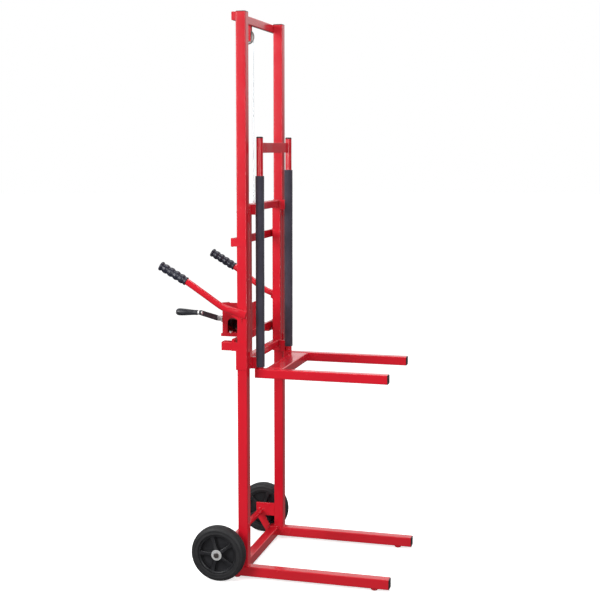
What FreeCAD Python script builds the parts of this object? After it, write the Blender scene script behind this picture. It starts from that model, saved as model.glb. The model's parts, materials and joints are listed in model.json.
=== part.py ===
import FreeCAD, Part
import math
import os

import Sketcher

# Board lifting trolley: a two-post mast on a wheeled base, a hand winch at the back, and a fork
# carriage that runs up and down the posts on a wire rope.
# +X points forward along the forks, +Y to the machine's left, +Z up. The origin is on the floor at
# the centre of the whole trolley's outline; post_x is where the posts stand from there.

doc = FreeCAD.newDocument("board_lift")
sheet = doc.addObject("Spreadsheet::Sheet", "Params")
V = FreeCAD.Vector
AXIS_TURN = {
    "Z": FreeCAD.Rotation(),
    "X": FreeCAD.Rotation(V(1, 1, 1), 120),
    "Y": FreeCAD.Rotation(V(1, 1, 1), 240),
}


class Dim:
    """A length that carries its number and its spreadsheet expression together."""

    def __init__(self, value, text):
        self.value = float(value)
        self.text = text

    def __add__(self, other):
        other = dim(other)
        return Dim(self.value + other.value, f"({self.text} + {other.text})")

    def __sub__(self, other):
        other = dim(other)
        return Dim(self.value - other.value, f"({self.text} - {other.text})")

    def __mul__(self, factor):
        factor = dim(factor)
        return Dim(self.value * factor.value, f"({self.text} * {factor.text})")

    def __truediv__(self, factor):
        factor = dim(factor)
        return Dim(self.value / factor.value, f"({self.text} / {factor.text})")

    def __neg__(self):
        return Dim(-self.value, f"(0 - {self.text})")

    __radd__ = __add__
    __rmul__ = __mul__

    def __rsub__(self, other):
        return dim(other) - self


def dim(number):
    return number if isinstance(number, Dim) else Dim(number, repr(float(number)))


def cell(alias, value):
    """Keep one driving dimension in the sheet and hand it back as a Dim."""
    cell.row = getattr(cell, "row", 0) + 1
    sheet.set(f"A{cell.row}", alias)
    sheet.set(f"B{cell.row}", str(value))
    sheet.setAlias(f"B{cell.row}", alias)
    return Dim(value, f"Params.{alias}")


# ---------------------------------------------------------------- driving dimensions, mm
post_x = cell("post_x", -127.28)
tube = cell("tube", 40)
tube_wall = cell("tube_wall", 2.5)
post_y = cell("post_y", 253)
leg_bottom = cell("leg_bottom", 10)
splice_z = cell("splice_z", 1495)
mast_top = cell("mast_top", 2208)
leg_reach = cell("leg_reach", 583)
cap_depth = cell("cap_depth", 3)
base_back = cell("base_back", 42)
foot_r = cell("foot_r", 15)
foot_flat = cell("foot_flat", 9)
foot_front = cell("foot_front", 525)
foot_back = cell("foot_back", 30)
spigot_length = cell("spigot_length", 180)
fit_gap = cell("fit_gap", 0.1)

bar_height = cell("bar_height", 32)
bar_depth = cell("bar_depth", 10)
bar_back = cell("bar_back", 42)
plate = cell("plate", 4)
tie_bar_z = cell("tie_bar_z", 1318)
winch_bar_z = cell("winch_bar_z", 925)
winch_plate_z = cell("winch_plate_z", 837)
stub_length = cell("stub_length", 42)
stub_height = cell("stub_height", 34)
stub_z = cell("stub_z", 911)
top_bar_depth = cell("top_bar_depth", 16)

axle_back = cell("axle_back", 88)
wheel_r = cell("wheel_r", 110)
wheel_y = cell("wheel_y", 310)
wheel_width = cell("wheel_width", 50)
axle_r = cell("axle_r", 10)
axle_tube_r = cell("axle_tube_r", 13)
bracket_back = cell("bracket_back", 106)
bracket_bottom = cell("bracket_bottom", 92)
bracket_top = cell("bracket_top", 148)
bracket_wall = cell("bracket_wall", 6)
bracket_y = cell("bracket_y", 248)

handle_r = cell("handle_r", 13)
handle_grip_r = cell("handle_grip_r", 16)
grip_length = cell("grip_length", 122)

side_width = cell("side_width", 30)
side_depth = cell("side_depth", 36)
side_back = cell("side_back", 16)
side_gap = cell("side_gap", 3)
carriage_bottom = cell("carriage_bottom", 835)
carriage_top = cell("carriage_top", 1478)
cross_size = cell("cross_size", 30)
lower_bar_z = cell("lower_bar_z", 854)
upright_x = cell("upright_x", 54)
upright_y = cell("upright_y", 206)
upright_r = cell("upright_r", 13)
upright_top = cell("upright_top", 1733)
upright_wall = cell("upright_wall", 2)
sleeve_r = cell("sleeve_r", 17.5)
sleeve_length = cell("sleeve_length", 748)
sleeve_near_z = cell("sleeve_near_z", 840)
sleeve_far_z = cell("sleeve_far_z", 856)
fork_size = cell("fork_size", 36)
fork_back = cell("fork_back", 36)
fork_reach = cell("fork_reach", 563)
fork_z = cell("fork_z", 798)
fork_cross_x = cell("fork_cross_x", 72)
fork_cross_depth = cell("fork_cross_depth", 70)
head_z = cell("head_z", 1676)
head_height = cell("head_height", 40)

pulley_y = cell("pulley_y", -20)
pulley_z = cell("pulley_z", 2136)
pulley_r = cell("pulley_r", 30)
rope_r = cell("rope_r", 2)
rope_bend_r = cell("rope_bend_r", 26)
rope_front_x = cell("rope_front_x", -28.5)

shelf_back = cell("shelf_back", 158)
shelf_z = cell("shelf_z", 937)
shelf_half = cell("shelf_half", 62)
shelf_plate = cell("shelf_plate", 6)
winch_near = cell("winch_near", 60)
winch_far = cell("winch_far", 44)
winch_front = cell("winch_front", 62)
winch_back = cell("winch_back", 152)
winch_top = cell("winch_top", 1070)
winch_plate = cell("winch_plate", 3)
web_leg = cell("web_leg", 22)
guard_y = cell("guard_y", 56)
mount_far = cell("mount_far", 85)
drum_y = cell("drum_y", 10)
winch_axis_z = cell("winch_axis_z", 1003)
drum_core_r = cell("drum_core_r", 20)
drum_flange_r = cell("drum_flange_r", 36)
wound_r = cell("wound_r", 27.6)
shaft_r = cell("shaft_r", 6)
bush_r = cell("bush_r", 10)
running_gap = cell("running_gap", 0.06)
gear_centres = cell("gear_centres", 52.6)
gear_x = cell("gear_x", 139)
gear_width = cell("gear_width", 8)
gear_root_r = cell("gear_root_r", 37.6)
gear_tip_r = cell("gear_tip_r", 42)
pinion_root_r = cell("pinion_root_r", 9.6)
pinion_tip_r = cell("pinion_tip_r", 14)
ratchet_root_r = cell("ratchet_root_r", 13.5)
ratchet_tip_r = cell("ratchet_tip_r", 17)
pawl_pivot_y = cell("pawl_pivot_y", 28.6)
pawl_pivot_z = cell("pawl_pivot_z", 27)
crank_back = cell("crank_back", 184)
crank_thick = cell("crank_thick", 8)
crank_length = cell("crank_length", 204)
crank_rise = cell("crank_rise", 13.7)
crank_grip_end = cell("crank_grip_end", 280)

leg_top = leg_bottom + tube
post_back = post_x - tube / 2
post_front = post_x + tube / 2
inner_face = post_y - tube / 2
outer_face = post_y + tube / 2
crank_y = drum_y - gear_centres
wheel_bore = axle_r + running_gap
shaft_bore = shaft_r + running_gap
rope_x = post_x + rope_front_x
pulley_x = rope_x - rope_bend_r
# Centre line of a push handle on the far side: forward of the posts, out from the middle, up.
HANDLE_ROUTE = ((18, 286, 1053), (-66, 288.5, 1079), (-210, 298, 1176), (-322, 303, 1240))
HANDLE_BEND_R = 60
subparts = []


# ---------------------------------------------------------------- building helpers
def bind(obj, **sizes):
    for name, size in sizes.items():
        obj.setExpression(name, dim(size).text)


def place(obj, at, turn=None):
    """Put an object's own origin at a point given by three sizes."""
    if turn is not None:
        obj.Placement = FreeCAD.Placement(V(), turn)
    for letter, size in zip("xyz", at):
        obj.setExpression(f"Placement.Base.{letter}", dim(size).text)


def keep(obj, label):
    obj.Label = label
    subparts.append(obj)
    return obj


def body_plane(body, role):
    return [o for o in body.Origin.OriginFeatures if o.Role == role][0]


def new_sketch(body, role="XY_Plane", offset=None):
    sketch = body.newObject("Sketcher::SketchObject", "Sketch")
    sketch.AttachmentSupport = (body_plane(body, role), "")
    sketch.MapMode = "FlatFace"
    if offset is not None:
        sketch.setExpression("AttachmentOffset.Base.z", dim(offset).text)
    return sketch


def pin(sketch, kind, refs, size):
    index = sketch.addConstraint(Sketcher.Constraint(kind, *refs, dim(size).value))
    sketch.setExpression(f"Constraints[{index}]", dim(size).text)


def outline(sketch, points):
    """Close a straight-sided outline whose corners are all bound to sizes."""
    points = [(dim(a), dim(b)) for a, b in points]
    first = sketch.GeometryCount
    corners = [V(a.value, b.value, 0) for a, b in points]
    for i, corner in enumerate(corners):
        sketch.addGeometry(Part.LineSegment(corner, corners[(i + 1) % len(corners)]))
    for i, (a, b) in enumerate(points):
        edge = first + i
        after = first + (i + 1) % len(points)
        sketch.addConstraint(Sketcher.Constraint("Coincident", edge, 2, after, 1))
        pin(sketch, "DistanceX", (-1, 1, edge, 1), a)
        pin(sketch, "DistanceY", (-1, 1, edge, 1), b)


def circle(sketch, radius, a=0, b=0):
    a, b, radius = dim(a), dim(b), dim(radius)
    index = sketch.addGeometry(Part.Circle(V(a.value, b.value, 0), V(0, 0, 1), radius.value))
    pin(sketch, "Radius", (index,), radius)
    pin(sketch, "DistanceX", (-1, 1, index, 3), a)
    pin(sketch, "DistanceY", (-1, 1, index, 3), b)


def rectangle(sketch, width, depth):
    half_w, half_d = dim(width) / 2, dim(depth) / 2
    outline(sketch, [(-half_w, -half_d), (half_w, -half_d), (half_w, half_d), (-half_w, half_d)])


def pad(body, sketch, length, middle=False):
    feature = body.newObject("PartDesign::Pad", "Pad")
    feature.Profile = sketch
    feature.Midplane = middle
    bind(feature, Length=length)
    return feature


def pocket(body, sketch, length, reverse=False):
    feature = body.newObject("PartDesign::Pocket", "Pocket")
    feature.Profile = sketch
    feature.Reversed = reverse
    bind(feature, Length=length)
    return feature


def new_body(label=None):
    body = doc.addObject("PartDesign::Body", "Body")
    return keep(body, label) if label else body


def square_tube(label, axis, width, depth, wall, length, at):
    """A rectangular tube starting at a point on its centre line.

    width and depth run along X and Y for axis Z, Y and Z for axis X, Z and X for axis Y.
    """
    body = new_body(label)
    sketch = new_sketch(body)
    rectangle(sketch, width, depth)
    rectangle(sketch, width - 2 * wall, depth - 2 * wall)
    pad(body, sketch, length)
    place(body, at, AXIS_TURN[axis])
    return body


def flat_bar(label, axis, width, depth, length, at):
    body = new_body(label)
    sketch = new_sketch(body)
    rectangle(sketch, width, depth)
    pad(body, sketch, length)
    place(body, at, AXIS_TURN[axis])
    return body


def round_bar(label, axis, radius, length, at, bore=None):
    body = new_body(label)
    sketch = new_sketch(body)
    circle(sketch, radius)
    if bore is not None:
        circle(sketch, bore)
    pad(body, sketch, length)
    place(body, at, AXIS_TURN[axis])
    return body


def turned(label, axis, profile, at, turn=None):
    """A turned part: profile holds (radius, distance along the axis) corners."""
    body = new_body(label)
    sketch = new_sketch(body, "XZ_Plane")
    outline(sketch, profile)
    feature = body.newObject("PartDesign::Revolution", "Revolution")
    feature.Profile = sketch
    feature.ReferenceAxis = (sketch, ["V_Axis"])
    feature.Angle = 360
    place(body, at, AXIS_TURN[axis] if turn is None else turn)
    return body


def profile_plate(label, axis, corners, thickness, at, holes=()):
    """A plate cut to an outline, with round holes given as (radius, a, b)."""
    body = new_body(label)
    sketch = new_sketch(body)
    outline(sketch, corners)
    for radius, a, b in holes:
        circle(sketch, radius, a, b)
    pad(body, sketch, thickness)
    place(body, at, AXIS_TURN[axis])
    return body


def block(length, width, height, at):
    box = doc.addObject("Part::Box", "Box")
    bind(box, Length=length, Width=width, Height=height)
    place(box, at)
    return box


def rod(radius, height, axis, at):
    cylinder = doc.addObject("Part::Cylinder", "Cylinder")
    bind(cylinder, Radius=radius, Height=height)
    place(cylinder, at, AXIS_TURN[axis])
    return cylinder


def fuse(label, pieces):
    joined = doc.addObject("Part::MultiFuse", "Fusion")
    joined.Shapes = pieces
    return keep(joined, label) if label else joined


def cut(label, base, tool):
    result = doc.addObject("Part::Cut", "Cut")
    result.Base = base
    result.Tool = tool
    return keep(result, label) if label else result


def group(label, pieces):
    """Several separate solids that share one node."""
    compound = doc.addObject("Part::Compound", "Group")
    compound.Links = pieces
    return keep(compound, label)


def hex_head(across, height, axis, at):
    prism = doc.addObject("Part::Prism", "Hexagon")
    prism.Polygon = 6
    bind(prism, Circumradius=dim(across) / math.sqrt(3), Height=height)
    place(prism, at, AXIS_TURN[axis])
    return prism


def toothed_wheel(label, teeth, radii, tooth_halves, lean, width, at, bore=None, phase=0):
    """A wheel about X: a disc, one tooth and the tooth's polar pattern."""
    root_r, tip_r = radii
    root_half, tip_half = tooth_halves
    body = new_body(label)
    disc = new_sketch(body)
    circle(disc, root_r)
    if bore is not None:
        circle(disc, bore)
    pad(body, disc, width)
    tooth = new_sketch(body)
    inside = root_r - 1
    outline(tooth, [(-root_half, inside), (root_half, inside), (lean + tip_half, tip_r),
                    (lean - tip_half, tip_r)])
    tooth_pad = pad(body, tooth, width)
    doc.recompute()
    pattern = body.newObject("PartDesign::PolarPattern", "PolarPattern")
    pattern.Originals = [tooth_pad]
    pattern.Axis = (disc, ["N_Axis"])
    pattern.Angle = 360
    pattern.Occurrences = teeth
    body.Tip = pattern
    place(body, at, FreeCAD.Rotation(V(1, 0, 0), phase) * AXIS_TURN["X"])
    return body


def bent_route(points, bend_r):
    """A wire of straight runs whose corners are rounded by tangent arcs."""
    edges = []
    start = points[0]
    for before, corner, after in zip(points, points[1:], points[2:]):
        back = (before - corner).normalize()
        on = (after - corner).normalize()
        half = back.getAngle(on) / 2
        middle = (back + on).normalize()
        centre = corner + middle * (bend_r / math.sin(half))
        entry = corner + back * (bend_r / math.tan(half))
        leave = corner + on * (bend_r / math.tan(half))
        edges.append(Part.LineSegment(start, entry).toShape())
        edges.append(Part.Arc(entry, centre - middle * bend_r, leave).toShape())
        start = leave
    edges.append(Part.LineSegment(start, points[-1]).toShape())
    return Part.Wire(edges)


def swept(route, radius):
    """A solid round section carried along a route."""
    first = route.OrderedEdges[0]
    ring = Part.makeCircle(radius, first.valueAt(first.FirstParameter), first.tangentAt(first.FirstParameter))
    return route.makePipeShell([Part.Wire([ring])], True, False)


SIDES = (("near", -1), ("far", 1))


# ---------------------------------------------------------------- base
def build_base():
    for side, sign in SIDES:
        square_tube(f"leg_{side}", "X", tube, tube, tube_wall, leg_reach + base_back,
                    (post_x - base_back, sign * post_y, leg_bottom + tube / 2))
    square_tube("base_cross_tube", "Y", tube, tube, tube_wall, 2 * inner_face,
                (post_x - base_back + tube / 2, -inner_face, leg_bottom + tube / 2))
    caps = []
    feet = []
    for side, sign in SIDES:
        edge_y = sign * post_y - tube / 2
        for end_x in (post_x + leg_reach, post_x - base_back - cap_depth):
            caps.append(block(cap_depth, tube, tube, (end_x, edge_y, leg_bottom)))
        caps.append(block(tube, tube, cap_depth, (post_back, edge_y, mast_top)))
        for foot_x in (post_x + foot_front, post_x - foot_back):
            feet.append(turned(None, "Z", [
                (0, 0), (foot_flat, 0), (foot_r - 2, 3), (foot_r, 6.5), (foot_r, leg_bottom),
                (0, leg_bottom)], (foot_x, sign * post_y, 0)))
    group("frame_end_caps", caps)
    group("foot_glides", feet)


# ---------------------------------------------------------------- mast
def build_mast():
    spigots = []
    spigot = tube - 2 * tube_wall - 2 * fit_gap
    for side, sign in SIDES:
        square_tube(f"post_lower_{side}", "Z", tube, tube, tube_wall, splice_z - leg_top,
                    (post_x, sign * post_y, leg_top))
        square_tube(f"post_upper_{side}", "Z", tube, tube, tube_wall, mast_top - splice_z,
                    (post_x, sign * post_y, splice_z))
        spigots.append(square_tube(None, "Z", spigot, spigot, tube_wall, spigot_length,
                                   (post_x, sign * post_y, splice_z - spigot_length / 2)))
    group("splice_spigots", spigots)
    flat_bar("mast_top_bar", "Y", bar_height, top_bar_depth, 2 * outer_face,
             (post_back - top_bar_depth / 2, -outer_face, mast_top - bar_height / 2))


def build_rear_bars():
    bar_x = post_x - bar_back + bar_depth / 2
    group("rear_bars", [
        flat_bar(None, "Y", bar_height, bar_depth, 2 * outer_face,
                 (bar_x, -outer_face, bottom + bar_height / 2))
        for bottom in (tie_bar_z, winch_bar_z)])
    plates = []
    stubs = []
    for side, sign in SIDES:
        face = outer_face if sign > 0 else -outer_face - plate
        plates.append(block(bar_back + tube / 2, plate, bar_height, (post_x - bar_back, face, tie_bar_z)))
        upper = block(bar_back + tube / 2, plate, stub_height, (post_x - bar_back, face, stub_z))
        lower = block(tube + 4, plate, stub_z - winch_plate_z, (post_back - 4, face, winch_plate_z))
        plates.append(fuse(None, [upper, lower]))
        stubs.append(square_tube(None, "X", tube, stub_height, tube_wall, stub_length,
                                 (post_x - bar_back - stub_length, sign * post_y,
                                  stub_z + stub_height / 2)))
    group("rest_stubs", stubs)
    return plates


# ---------------------------------------------------------------- axle and wheels
def build_axle():
    axle_x = post_x - axle_back
    half = wheel_width / 2
    round_bar("axle_tube", "Y", axle_tube_r, 2 * bracket_y, (axle_x, -bracket_y, wheel_r),
              axle_r + fit_gap)
    axle_end = wheel_y + half + 5.5
    round_bar("axle", "Y", axle_r, 2 * axle_end, (axle_x, -axle_end, wheel_r))
    brackets = []
    fasteners = []
    strut_back = base_back + cap_depth
    for side, sign in SIDES:
        face = bracket_y if sign > 0 else -bracket_y - bracket_wall
        outer = [(bracket_top, -tube / 2), (bracket_top, -bracket_back), (bracket_bottom, -bracket_back),
                 (24, -strut_back - 18), (24, -strut_back), (leg_top, -strut_back),
                 (bracket_bottom, -strut_back - 22), (bracket_bottom, -tube / 2)]
        brackets.append(profile_plate(None, "Y", outer, bracket_wall, (post_x, face, 0),
                                      [(axle_r + fit_gap, wheel_r, -axle_back)]))
        wheel_inside = wheel_y - half - 2.5
        wheel_outside = wheel_y + half + 2.5
        for near_y, far_y, radius in ((bracket_y + bracket_wall, wheel_inside, 16),
                                      (wheel_outside, axle_end, 21)):
            start = near_y if sign > 0 else -far_y
            fasteners.append(round_bar(None, "Y", radius, far_y - near_y, (axle_x, start, wheel_r), axle_r))
        head_y = axle_end if sign > 0 else -axle_end - 6.4
        fasteners.append(hex_head(19, 6.4, "Y", (axle_x, head_y, wheel_r)))
    group("axle_brackets", brackets)
    group("axle_fasteners", fasteners)


def build_wheels():
    half = wheel_width / 2
    rim_r = wheel_r - 32
    for side, sign in SIDES:
        centre = (post_x - axle_back, sign * wheel_y, wheel_r)
        turned(f"tyre_{side}", "Y", [
            (rim_r, -half + 6), (rim_r + 6, -half), (wheel_r - 12, -half), (wheel_r - 3, -half + 9),
            (wheel_r, -half + 17), (wheel_r, half - 17), (wheel_r - 3, half - 9), (wheel_r - 12, half),
            (rim_r + 6, half), (rim_r, half - 6)], centre)
        turned(f"wheel_rim_{side}", "Y", [
            (wheel_bore, -half - 2), (19, -half - 2), (21, -8), (rim_r - 8, -8), (rim_r - 6, -half + 6),
            (rim_r, -half + 6), (rim_r, half - 6), (rim_r - 6, half - 6), (rim_r - 8, 8), (21, 8),
            (19, half + 2), (wheel_bore, half + 2)], centre)


# ---------------------------------------------------------------- push handles
def build_handles():
    grips = []
    gussets = []
    ridge = handle_grip_r + 1.2
    profile = [(handle_r, 0), (handle_grip_r, 0)]
    for index in range(5):
        step = 10 + 20 * index
        profile += [(handle_grip_r, step), (ridge, step + 3), (ridge, step + 9), (handle_grip_r, step + 12)]
    profile += [(handle_grip_r, grip_length - 10), (handle_grip_r + 3, grip_length - 6),
                (handle_grip_r + 3, grip_length), (0, grip_length), (0, grip_length - 4),
                (handle_r, grip_length - 4)]
    for side, sign in SIDES:
        corners = [V(post_x.value + x, sign * y, z) for x, y, z in HANDLE_ROUTE]
        along = (corners[-1] - corners[-2]).normalize()
        grip_start = corners[-1] - along * grip_length.value
        tube_end = corners[-1] - along * 4
        route = bent_route(corners[:-1] + [tube_end], HANDLE_BEND_R)
        handle = doc.addObject("Part::Feature", "HandleTube")
        handle.Shape = swept(route, handle_r.value).cut(swept(route, handle_r.value - 2))
        keep(handle, f"handle_tube_{side}")
        offset = grip_start.x - post_x.value
        grips.append(turned(None, "Z", profile, (post_x + offset, grip_start.y, grip_start.z),
                            FreeCAD.Rotation(V(0, 0, 1), along)))
        face = outer_face if sign > 0 else -outer_face - plate
        gussets.append(profile_plate(None, "Y", [(1020, 0), (1048, 0), (1062, -45), (1052, -45)],
                                     plate, (post_x, face, 0)))
    group("handle_grips", grips)
    return gussets


# ---------------------------------------------------------------- winch
def build_winch_frame():
    half_x = winch_back - winch_front
    lip = 6
    shelf = block(shelf_back - bar_back, 2 * shelf_half, shelf_plate,
                  (post_x - shelf_back, -shelf_half, shelf_z))
    lips = [block(shelf_back - bar_back, plate, lip, (post_x - shelf_back, y, shelf_z - lip))
            for y in (-shelf_half, shelf_half - plate)]
    fuse("winch_shelf", [shelf] + lips)

    base_z = shelf_z + shelf_plate
    holes = [(bush_r, drum_y, winch_axis_z), (bush_r, crank_y, winch_axis_z)]
    walls = []
    for wall_x, far_edge in ((winch_front + winch_plate, winch_far), (winch_back, guard_y)):
        corners = [(-winch_near, base_z), (far_edge, base_z), (far_edge, winch_top - 36),
                   (far_edge - 34, winch_top - 8), (-winch_near, winch_top)]
        walls.append(profile_plate(None, "X", corners, winch_plate, (post_x - wall_x, 0, 0), holes))
    floor = block(half_x, winch_near + winch_far, winch_plate, (post_x - winch_back, -winch_near, base_z))
    arch_x = web_leg - winch_back
    arch_z = winch_axis_z + 3
    web = profile_plate(None, "Y", [
        (base_z, -winch_back), (winch_top, -winch_back), (winch_top, -winch_front),
        (arch_z, -winch_front), (arch_z, arch_x + 14), (arch_z - 5, arch_x + 5),
        (arch_z - 15, arch_x), (base_z, arch_x)], winch_plate, (post_x, -winch_near, 0))
    fuse("winch_frame", walls + [floor, web])
    keep(block(winch_plate, winch_near + mount_far, winch_top - base_z - 4,
               (post_x - bar_back - winch_plate, -winch_near, base_z)), "winch_mount_plate")
    keep(block(half_x, winch_plate, 92, (post_x - winch_back, guard_y, base_z)), "drum_guard")
    group("winch_bushes", [
        round_bar(None, "X", bush_r, winch_plate + 2, (post_x - x - winch_plate - 1, y, winch_axis_z),
                  shaft_bore)
        for x in (winch_front, winch_back - winch_plate) for y in (drum_y, crank_y)])


def build_drum():
    centre = (post_x, drum_y, winch_axis_z)
    turned("drum", "X", [
        (0, -155), (shaft_r, -155), (shaft_r, -131), (drum_flange_r, -131), (drum_flange_r, -127),
        (drum_core_r, -127), (drum_core_r, -70), (drum_flange_r, -70), (drum_flange_r, -67),
        (shaft_r, -67), (shaft_r, -60), (0, -60)], centre)
    toothed_wheel("drum_gear", 40, (gear_root_r, gear_tip_r), (2.2, 0.8), 0, gear_width,
                  (post_x - gear_x, drum_y, winch_axis_z), shaft_r)
    round_bar("rope_wound", "X", wound_r, 48, (post_x - 127, drum_y, winch_axis_z), drum_core_r)


def build_crank():
    centre = (post_x, crank_y, winch_axis_z)
    shaft = turned(None, "X", [
        (0, -crank_back - 6), (9, -crank_back - 6), (9, -crank_back), (shaft_r, -crank_back),
        (shaft_r, -60), (0, -60)], centre)
    pinion = toothed_wheel(None, 12, (pinion_root_r, pinion_tip_r), (2.2, 0.8), 0, gear_width,
                           (post_x - gear_x, crank_y, winch_axis_z), None, 15)
    fuse("pinion_shaft", [shaft, pinion])
    toothed_wheel("ratchet_wheel", 12, (ratchet_root_r, ratchet_tip_r), (2.4, 0.4), 2.2, 5,
                  (post_x - 160, crank_y, winch_axis_z), shaft_r)
    arm_front = -crank_back + crank_thick
    turned("crank_hub", "X", [
        (shaft_r, -crank_back), (8, -crank_back), (8, arm_front), (12, arm_front), (12, -160),
        (shaft_r, -160)], centre)

    arm = new_body("crank_arm")
    bar = new_sketch(arm)
    outline(bar, [(0, -11), (crank_length, -10), (crank_length, 10), (0, 11)])
    pad(arm, bar, crank_thick)
    for radius, along in ((11, 0), (10, crank_length)):
        eye = new_sketch(arm)
        circle(eye, radius, along)
        pad(arm, eye, crank_thick)
    holes = new_sketch(arm)
    circle(holes, 8)
    circle(holes, 5, crank_length)
    pocket(arm, holes, crank_thick, reverse=True)
    place(arm, (post_x - crank_back, crank_y, winch_axis_z),
          FreeCAD.Rotation(V(1, 0, 0), 180 - crank_rise.value) * AXIS_TURN["X"])

    slope = math.radians(crank_rise.value)
    grip_axis = (post_x, crank_y - crank_length * math.cos(slope),
                 winch_axis_z + crank_length * math.sin(slope))
    grip_front = -crank_back - 6.6
    turned("grip_spindle", "X", [
        (0, -crank_grip_end - 3), (7, -crank_grip_end - 3), (7, -crank_grip_end - 0.5),
        (4, -crank_grip_end - 0.5), (4, -crank_back - 6), (9, -crank_back - 6), (9, -crank_back),
        (5, -crank_back), (5, arm_front), (7, arm_front), (7, arm_front + 3), (0, arm_front + 3)],
        grip_axis)
    turned("crank_grip", "X", [
        (4 + running_gap, -crank_grip_end), (9, -crank_grip_end), (13, -crank_grip_end + 3),
        (14.5, -crank_grip_end + 12), (14, -crank_grip_end + 45), (10.5, grip_front - 6),
        (9.5, grip_front), (4 + running_gap, grip_front)], grip_axis)


def build_pawl():
    pivot_y = crank_y + pawl_pivot_y
    pivot_z = winch_axis_z + pawl_pivot_z
    back = post_x - 160
    boss = rod(6, 5, "X", (back, pivot_y, pivot_z))
    finger = profile_plate(None, "X", [(2.5, -4.3), (-2.5, 4.3), (-20.5, -10.6), (-18, -12.6)], 5,
                           (back, pivot_y, pivot_z))
    cut("pawl", fuse(None, [boss, finger]), rod(3 + running_gap, 5, "X", (back, pivot_y, pivot_z)))
    return turned(None, "X", [(0, -163.5), (5, -163.5), (5, -160.5), (3, -160.5), (3, -winch_back),
                              (0, -winch_back)], (post_x, pivot_y, pivot_z))


# ---------------------------------------------------------------- pulley, rope and fasteners
def build_pulley():
    centre = (pulley_x, pulley_y, pulley_z)
    turned("pulley_sheave", "Y", [
        (5 + running_gap, -7.7), (9, -7.7), (9, -6), (pulley_r, -6), (pulley_r, -4.6), (23.7, -1.6),
        (23.7, 1.6), (pulley_r, 4.6), (pulley_r, 6), (9, 6), (9, 7.7), (5 + running_gap, 7.7)], centre)
    depth = 40
    back = post_back - top_bar_depth - depth
    cheeks = [block(depth, 3, 82, (back, pulley_y + y, pulley_z - 18)) for y in (-11, 8)]
    roof = block(depth, 22, 4, (back, pulley_y - 11, pulley_z + 60))
    cut("pulley_bracket", fuse(None, cheeks + [roof]),
        rod(5, 22, "Y", (pulley_x, pulley_y - 11, pulley_z)))
    return turned(None, "Y", [(0, -17), (8, -17), (8, -11), (5, -11), (5, 11), (8, 11), (8, 17),
                              (0, 17)], centre)


def build_rope():
    rope_back_x = pulley_x - rope_bend_r
    rise = rod(rope_r, pulley_z - winch_axis_z, "Z", (rope_back_x, pulley_y, winch_axis_z))
    over = doc.addObject("Part::Torus", "RopeBend")
    bind(over, Radius1=rope_bend_r, Radius2=rope_r)
    over.Angle3 = 180
    place(over, (pulley_x, pulley_y, pulley_z), FreeCAD.Rotation(V(1, 0, 0), 90))
    fuse("wire_rope_rear", [rise, over])
    anchor_top = carriage_top - 8
    fall = rod(rope_r, pulley_z - anchor_top - 0.3, "Z", (rope_x, pulley_y, anchor_top + 0.3))
    keep(fall, "wire_rope_front")
    anchor_front = post_x - cross_size / 2
    block_depth = 16
    anchor = block(block_depth, 20, 26, (anchor_front - block_depth, pulley_y - 10, anchor_top - 26))
    keep(anchor, "rope_anchor")


def build_fasteners(pins):
    screws = list(pins)
    for side, sign in SIDES:
        for screw_z in (splice_z - 45, splice_z + 45):
            screws.append(rod(4.5, 2.5, "X", (post_back - 2.5, sign * (post_y + 8), screw_z)))
    for bolt_x in (winch_front + 14, winch_back - 32):
        for bolt_y in (-winch_near + 12, winch_far - 10):
            screws.append(hex_head(13, 5.3, "Z", (post_x - bolt_x, bolt_y,
                                                  shelf_z + shelf_plate + winch_plate)))
    group("frame_fasteners", screws)


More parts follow.
